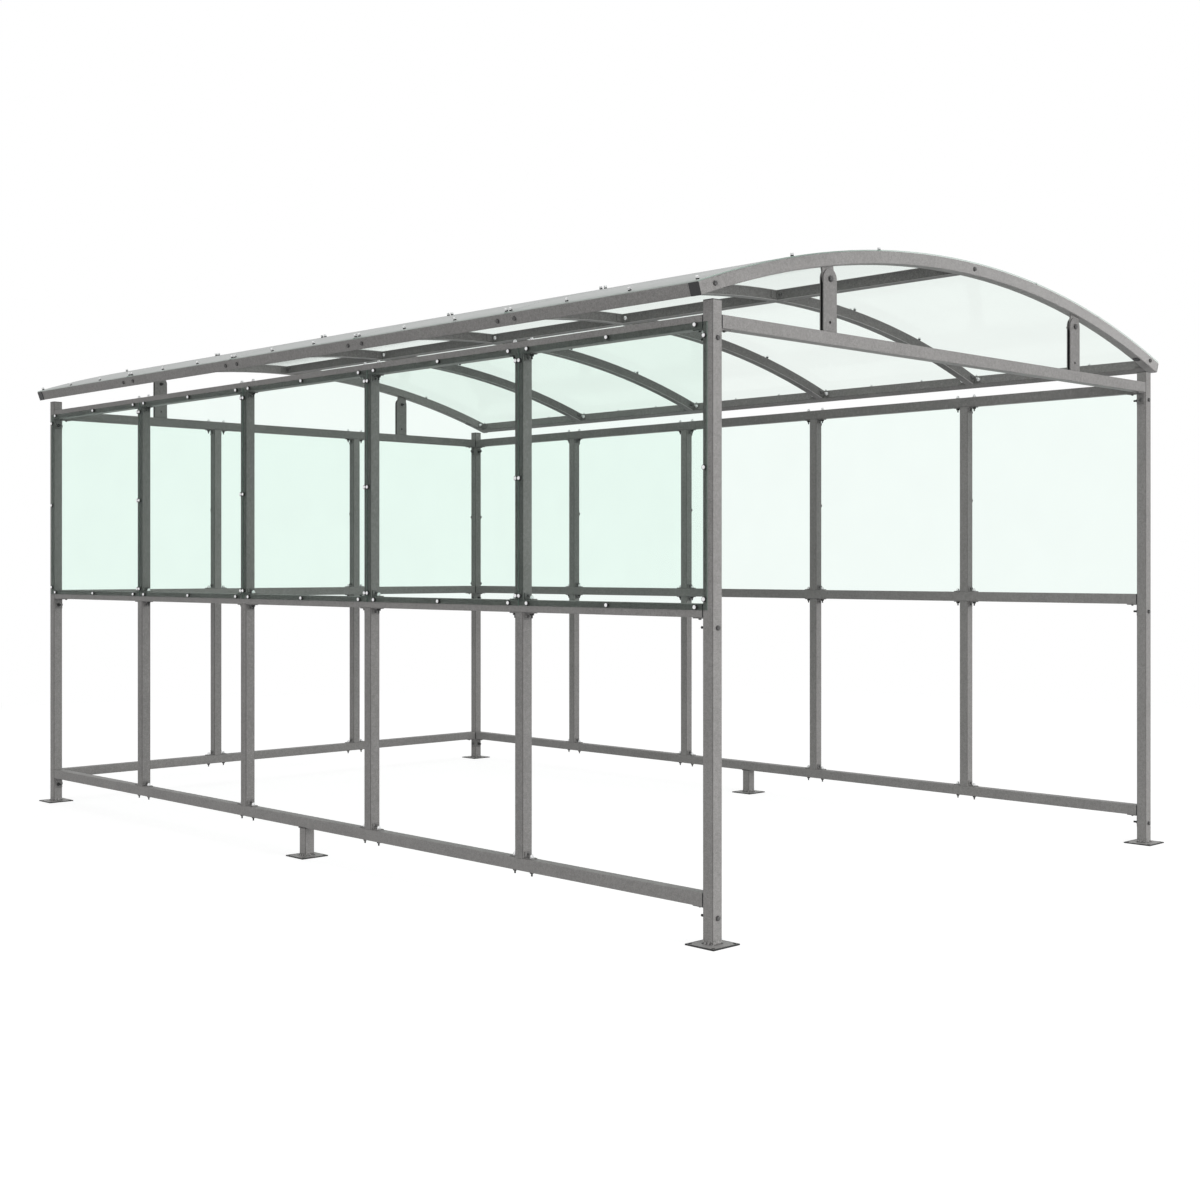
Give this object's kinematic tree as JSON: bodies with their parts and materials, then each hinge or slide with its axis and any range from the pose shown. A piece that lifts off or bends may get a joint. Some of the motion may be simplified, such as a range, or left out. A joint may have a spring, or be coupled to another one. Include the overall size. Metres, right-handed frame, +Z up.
{
  "type": "open-fronted smoking shelter",
  "caption": "Open-fronted shelter of square steel tube with clear upper wall panels on three sides and a barrel-vault roof of clear sheets carried on brackets.",
  "frame": {"origin": "on the ground, at the middle of the shelter's plan", "axes": "+Z up, the open front faces -Y, the long sides run along Y, +X is to the right seen from the front"},
  "size_m": [3.1956, 5.135, 2.5586],
  "materials": {
    "frame_steel": "satin grey coating with a fine speckle",
    "clear_sheet": "clear sheet with a pale green tint",
    "black_plastic": "matt moulded plastic",
    "fastener_zinc": "bright zinc-plated screw and bolt heads"
  },
  "bodies": {
    "root": {"base_plates": "frame_steel", "front_left_post": "frame_steel", "front_right_post": "frame_steel", "back_left_post": "frame_steel", "back_right_post": "frame_steel", "middle_feet": "frame_steel", "left_bottom_rail": "frame_steel", "left_middle_rail": "frame_steel", "left_top_rail": "frame_steel", "right_bottom_rail": "frame_steel", "right_middle_rail": "frame_steel", "right_top_rail": "frame_steel", "back_bottom_rail": "frame_steel", "back_middle_rail": "frame_steel", "back_top_rail": "frame_steel", "front_beam": "frame_steel", "left_mullions": "frame_steel", "right_mullions": "frame_steel", "back_mullions": "frame_steel", "left_panels": "clear_sheet", "right_panels": "clear_sheet", "back_panels": "clear_sheet", "front_arch": "frame_steel", "second_arch": "frame_steel", "third_arch": "frame_steel", "fourth_arch": "frame_steel", "fifth_arch": "frame_steel", "back_arch": "frame_steel", "left_eave_purlin": "frame_steel", "right_eave_purlin": "frame_steel", "ridge_purlins": "frame_steel", "first_roof_sheet": "clear_sheet", "second_roof_sheet": "clear_sheet", "third_roof_sheet": "clear_sheet", "fourth_roof_sheet": "clear_sheet", "fifth_roof_sheet": "clear_sheet", "front_brackets": "frame_steel", "back_brackets": "frame_steel", "arch_lugs": "frame_steel", "arch_end_caps": "black_plastic", "post_caps": "black_plastic", "rail_end_caps": "black_plastic", "mullion_cleats": "frame_steel", "rail_end_cleats": "frame_steel", "roof_cleats": "frame_steel"}
  },
  "joints": []
}
